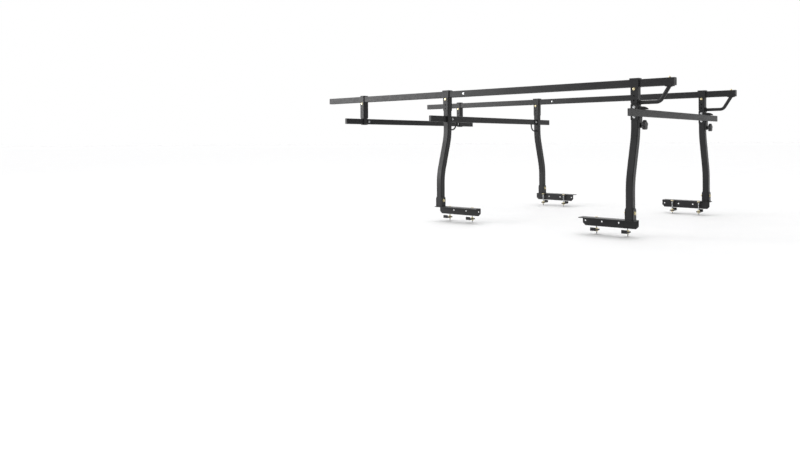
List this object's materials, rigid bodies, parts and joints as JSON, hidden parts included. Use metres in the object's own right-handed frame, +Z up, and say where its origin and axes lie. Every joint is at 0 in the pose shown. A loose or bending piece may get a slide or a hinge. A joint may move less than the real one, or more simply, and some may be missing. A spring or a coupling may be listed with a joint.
{
  "type": "ladder rack",
  "caption": "Over-cab ladder rack for a pickup bed: side rails on S-curved posts with fixed and removable crossbars, braces and screw clamps for the bed rails.",
  "frame": {"origin": "midway between the four posts, in the plane of the bed rails' tops, which is the underside of the four base pads", "axes": "+X to the truck's passenger side, +Y to the front of the truck, +Z up"},
  "size_m": [1.93, 3.091, 1.03],
  "materials": {
    "black_powder_coat": "satin black powder coat with a fine texture",
    "yellow_zinc": "yellow zinc plate",
    "bright_zinc": "bright zinc plate",
    "black_plastic": "matt moulded polyethylene",
    "knob_plastic": "glass-filled nylon, lightly textured"
  },
  "bodies": {
    "rack_frame": {"post_left_front": "black_powder_coat", "rail_saddle_left_front": "black_powder_coat", "base_left_front": "black_powder_coat", "post_left_rear": "black_powder_coat", "rail_saddle_left_rear": "black_powder_coat", "base_left_rear": "black_powder_coat", "cab_post_left": "black_powder_coat", "rail_saddle_left_cab": "black_powder_coat", "side_rail_left_front": "black_powder_coat", "side_rail_left_rear": "black_powder_coat", "rail_splice_left": "bright_zinc", "gusset_left": "black_powder_coat", "crossbar_receiver_left": "black_powder_coat", "rear_brace_left": "black_powder_coat", "post_right_front": "black_powder_coat", "rail_saddle_right_front": "black_powder_coat", "base_right_front": "black_powder_coat", "post_right_rear": "black_powder_coat", "rail_saddle_right_rear": "black_powder_coat", "base_right_rear": "black_powder_coat", "cab_post_right": "black_powder_coat", "rail_saddle_right_cab": "black_powder_coat", "side_rail_right_front": "black_powder_coat", "side_rail_right_rear": "black_powder_coat", "rail_splice_right": "bright_zinc", "gusset_right": "black_powder_coat", "crossbar_receiver_right": "black_powder_coat", "rear_brace_right": "black_powder_coat", "crossbar_cab": "black_powder_coat", "crossbar_front": "black_powder_coat", "crossbar_clips": "black_powder_coat", "clamp_bolts": "yellow_zinc", "frame_bolts": "yellow_zinc", "frame_nuts": "yellow_zinc", "splice_and_clip_bolts": "bright_zinc", "tube_end_caps": "black_plastic"},
    "rear_crossbar": {"crossbar_rear": "black_powder_coat", "crossbar_hanger_left": "black_powder_coat", "crossbar_hanger_right": "black_powder_coat", "crossbar_rear_caps": "black_plastic"},
    "knob_left": {"knob_left": "knob_plastic", "knob_stud_left": "yellow_zinc"},
    "knob_right": {"knob_right": "knob_plastic", "knob_stud_right": "yellow_zinc"},
    "clamp_left_front_inner": {"clamp_jaw_left_front_inner": "black_powder_coat", "clamp_nuts_left_front_inner": "yellow_zinc"},
    "clamp_left_front_outer": {"clamp_jaw_left_front_outer": "black_powder_coat", "clamp_nuts_left_front_outer": "yellow_zinc"},
    "clamp_left_rear_inner": {"clamp_jaw_left_rear_inner": "black_powder_coat", "clamp_nuts_left_rear_inner": "yellow_zinc"},
    "clamp_left_rear_outer": {"clamp_jaw_left_rear_outer": "black_powder_coat", "clamp_nuts_left_rear_outer": "yellow_zinc"},
    "clamp_right_front_inner": {"clamp_jaw_right_front_inner": "black_powder_coat", "clamp_nuts_right_front_inner": "yellow_zinc"},
    "clamp_right_front_outer": {"clamp_jaw_right_front_outer": "black_powder_coat", "clamp_nuts_right_front_outer": "yellow_zinc"},
    "clamp_right_rear_inner": {"clamp_jaw_right_rear_inner": "black_powder_coat", "clamp_nuts_right_rear_inner": "yellow_zinc"},
    "clamp_right_rear_outer": {"clamp_jaw_right_rear_outer": "black_powder_coat", "clamp_nuts_right_rear_outer": "yellow_zinc"}
  },
  "joints": [
    {"name": "rear_crossbar_pull_off", "type": "slide", "parent": "rack_frame", "child": "rear_crossbar", "axis": [0, -1, 0], "range_m": [0, 0.25]},
    {"name": "knob_left_turn", "type": "hinge", "parent": "rear_crossbar", "child": "knob_left", "pos_m": [-0.735, -0.79, 0.615], "axis": [0, -1, 0], "continuous": true},
    {"name": "knob_right_turn", "type": "hinge", "parent": "rear_crossbar", "child": "knob_right", "pos_m": [0.735, -0.79, 0.615], "axis": [0, -1, 0], "continuous": true},
    {"name": "clamp_left_front_inner_travel", "type": "slide", "parent": "rack_frame", "child": "clamp_left_front_inner", "axis": [0, 0, 1], "range_m": [-0.012, 0.018]},
    {"name": "clamp_left_front_outer_travel", "type": "slide", "parent": "rack_frame", "child": "clamp_left_front_outer", "axis": [0, 0, 1], "range_m": [-0.012, 0.018]},
    {"name": "clamp_left_rear_inner_travel", "type": "slide", "parent": "rack_frame", "child": "clamp_left_rear_inner", "axis": [0, 0, 1], "range_m": [-0.012, 0.018]},
    {"name": "clamp_left_rear_outer_travel", "type": "slide", "parent": "rack_frame", "child": "clamp_left_rear_outer", "axis": [0, 0, 1], "range_m": [-0.012, 0.018]},
    {"name": "clamp_right_front_inner_travel", "type": "slide", "parent": "rack_frame", "child": "clamp_right_front_inner", "axis": [0, 0, 1], "range_m": [-0.012, 0.018]},
    {"name": "clamp_right_front_outer_travel", "type": "slide", "parent": "rack_frame", "child": "clamp_right_front_outer", "axis": [0, 0, 1], "range_m": [-0.012, 0.018]},
    {"name": "clamp_right_rear_inner_travel", "type": "slide", "parent": "rack_frame", "child": "clamp_right_rear_inner", "axis": [0, 0, 1], "range_m": [-0.012, 0.018]},
    {"name": "clamp_right_rear_outer_travel", "type": "slide", "parent": "rack_frame", "child": "clamp_right_rear_outer", "axis": [0, 0, 1], "range_m": [-0.012, 0.018]}
  ]
}
